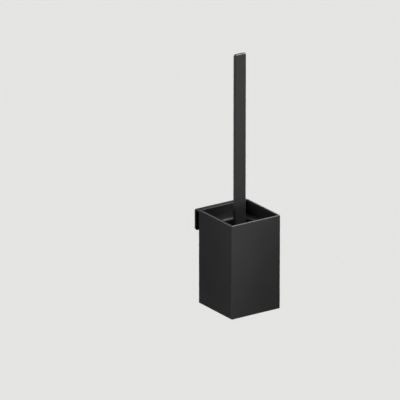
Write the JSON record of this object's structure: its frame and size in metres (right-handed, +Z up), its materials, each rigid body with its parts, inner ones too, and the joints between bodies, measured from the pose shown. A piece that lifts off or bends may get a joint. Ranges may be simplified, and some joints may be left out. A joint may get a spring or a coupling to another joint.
{
  "type": "wall-hung toilet brush holder",
  "caption": "Square black steel toilet brush holder hung on a wall bracket, with a lift-out liner and a brush on a flat bar handle.",
  "frame": {"origin": "on the wall face of the bracket, midway between its two screw holes", "axes": "+Z up, +X along the wall, +Y into the wall, so the holder stands out along -Y"},
  "size_m": [0.085, 0.096, 0.388],
  "materials": {
    "black_steel": "satin powder coat",
    "liner_plastic": "satin moulded",
    "core_plastic": "satin moulded",
    "bristle_nylon": "nylon filaments",
    "black_rubber": "matte",
    "brass_insert": "turned",
    "stud_steel": "machined"
  },
  "bodies": {
    "bracket": {"wall_bracket": "black_steel", "bracket_hook": "black_steel"},
    "box": {"box_shell": "black_steel", "base_plate": "black_steel", "hanger_strip": "black_steel", "wall_bumpers": "black_rubber"},
    "liner": {"liner": "liner_plastic"},
    "brush_head": {"brush_core": "core_plastic", "threaded_insert": "brass_insert", "side_bristles": "bristle_nylon", "end_bristles": "bristle_nylon"},
    "seal": {"seal_washer": "black_rubber"},
    "handle": {"handle_stud": "stud_steel", "handle_collar": "black_steel", "handle_bar": "black_steel"}
  },
  "joints": [
    {"name": "box_lift", "type": "slide", "parent": "bracket", "child": "box", "axis": [0, 0, 1], "range_m": [0, 0.0075]},
    {"name": "liner_lift", "type": "slide", "parent": "box", "child": "liner", "axis": [0, 0, 1], "range_m": [0, 0.145]},
    {"name": "brush_lift", "type": "slide", "parent": "liner", "child": "brush_head", "axis": [0, 0, 1], "range_m": [0, 0.14]},
    {"name": "seal_rise", "type": "slide", "parent": "brush_head", "child": "seal", "axis": [0, 0, 1], "range_m": [0, 0.0126]},
    {"name": "handle_turn", "type": "hinge", "parent": "seal", "child": "handle", "pos_m": [0, -0.0535, -0.0341], "axis": [0, 0, 1], "range_deg": [0, 3600]}
  ],
  "couplings": [
    {"joint": "seal_rise", "follows": "handle_turn", "m_per_rad": 0.00019894}
  ]
}
